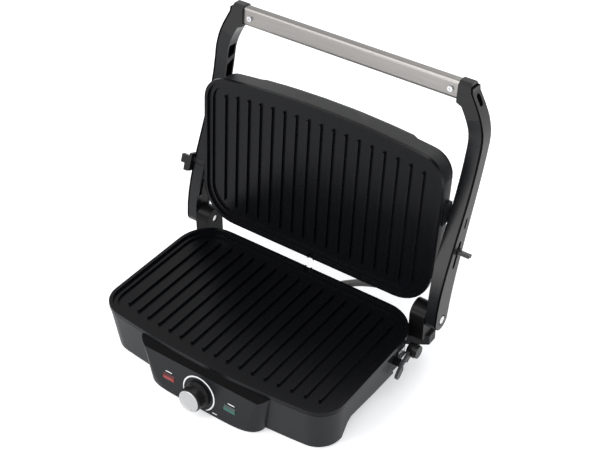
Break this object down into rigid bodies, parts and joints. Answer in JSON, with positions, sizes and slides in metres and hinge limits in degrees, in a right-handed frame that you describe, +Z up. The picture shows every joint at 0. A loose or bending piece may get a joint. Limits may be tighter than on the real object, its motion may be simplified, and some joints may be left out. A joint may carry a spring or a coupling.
{
  "type": "panini press",
  "caption": "Panini press with ribbed non-stick plates, a hinged lid on a swing handle with a steel bar, a control knob and indicator lamps.",
  "frame": {"origin": "centre of the whole object's box at table level, with the press open", "axes": "+Z up, +X along the width to the right seen from the control panel, +Y to the rear hinges"},
  "size_m": [0.3646, 0.2942, 0.3121],
  "materials": {
    "grill_plate": "black non-stick coating over cast aluminium",
    "charcoal_plastic": "fine grain, satin",
    "black_plastic": "satin black",
    "brushed_steel": "brushed along its length",
    "satin_metal": "satin turned face",
    "plated_steel": "bright zinc plating",
    "tray_aluminium": "plain sheet",
    "element_sheath": "heat-tinted tube",
    "pale_insulation": "ceramic-like pale plastic",
    "grey_lever": "grey painted sheet steel",
    "red_lens": "clear red lens",
    "green_lens": "clear green lens",
    "rubber": "matt black",
    "grey_sleeve": "grey sleeve"
  },
  "bodies": {
    "base": {"base_housing": "charcoal_plastic", "bottom_cover": "charcoal_plastic", "rubber_feet": "rubber", "cover_screws": "plated_steel", "base_tray_screws": "plated_steel", "lower_plate": "grill_plate", "lower_reflector": "tray_aluminium", "lower_element": "element_sheath", "lower_plate_clips": "plated_steel", "thermostat": "plated_steel", "red_lamp_lens": "red_lens", "green_lamp_lens": "green_lens", "lamp_holders": "pale_insulation", "terminal_block": "pale_insulation", "thermal_fuse": "pale_insulation", "cord_inlet": "black_plastic", "base_lead_grommet": "black_plastic", "left_hinge_bracket": "charcoal_plastic", "right_hinge_bracket": "charcoal_plastic", "left_hinge_pin": "plated_steel", "right_hinge_pin": "plated_steel", "bracket_screws": "plated_steel", "lever_pivot_screw": "plated_steel", "lever_keeper": "plated_steel", "link_lead": "grey_sleeve"},
    "handle": {"left_arm": "charcoal_plastic", "right_arm": "charcoal_plastic", "left_arm_cover": "charcoal_plastic", "right_arm_cover": "charcoal_plastic", "left_strap": "plated_steel", "right_strap": "plated_steel", "handle_bar": "brushed_steel", "bar_end_plugs": "charcoal_plastic", "bar_screws": "plated_steel", "arm_end_screws": "plated_steel", "left_lid_pin": "plated_steel", "right_lid_pin": "plated_steel", "lid_pin_washers": "plated_steel"},
    "lid": {"lid_housing": "charcoal_plastic", "upper_plate": "grill_plate", "upper_reflector": "tray_aluminium", "upper_element": "element_sheath", "upper_plate_clips": "plated_steel", "lid_thermostat": "plated_steel", "lid_lead_grommet": "black_plastic", "lid_tray_screws": "plated_steel"},
    "release_lever": {"release_lever": "grey_lever", "release_knob": "black_plastic"},
    "knob": {"control_knob": "black_plastic", "knob_cap": "satin_metal", "thermostat_shaft": "plated_steel"},
    "slider": {"arm_slider": "black_plastic"},
    "latch": {"arm_latch": "black_plastic"}
  },
  "joints": [
    {"name": "handle_swing", "type": "hinge", "parent": "base", "child": "handle", "pos_m": [0, 0.07292, 0.062], "axis": [1, 0, 0], "range_deg": [-85.6, 91.4], "deforming": ["link_lead"]},
    {"name": "lid_tilt", "type": "hinge", "parent": "handle", "child": "lid", "pos_m": [0, 0.10787, 0.17204], "axis": [1, 0, 0], "range_deg": [0, 3], "deforming": ["link_lead"]},
    {"name": "knob_turn", "type": "hinge", "parent": "base", "child": "knob", "pos_m": [0, -0.1288, 0.022], "axis": [0, -0.9936, 0.1132], "range_deg": [0, 255]},
    {"name": "release_lever_turn", "type": "hinge", "parent": "base", "child": "release_lever", "pos_m": [0.1535, 0.02102, 0.0303], "axis": [1, 0, 0], "range_deg": [-15, 15]},
    {"name": "slider_travel", "type": "slide", "parent": "handle", "child": "slider", "axis": [0, -0.3678, -0.9299], "range_m": [-0.008, 0.014]},
    {"name": "latch_pull", "type": "slide", "parent": "handle", "child": "latch", "axis": [-1, 0, 0], "range_m": [0, 0.005]}
  ]
}
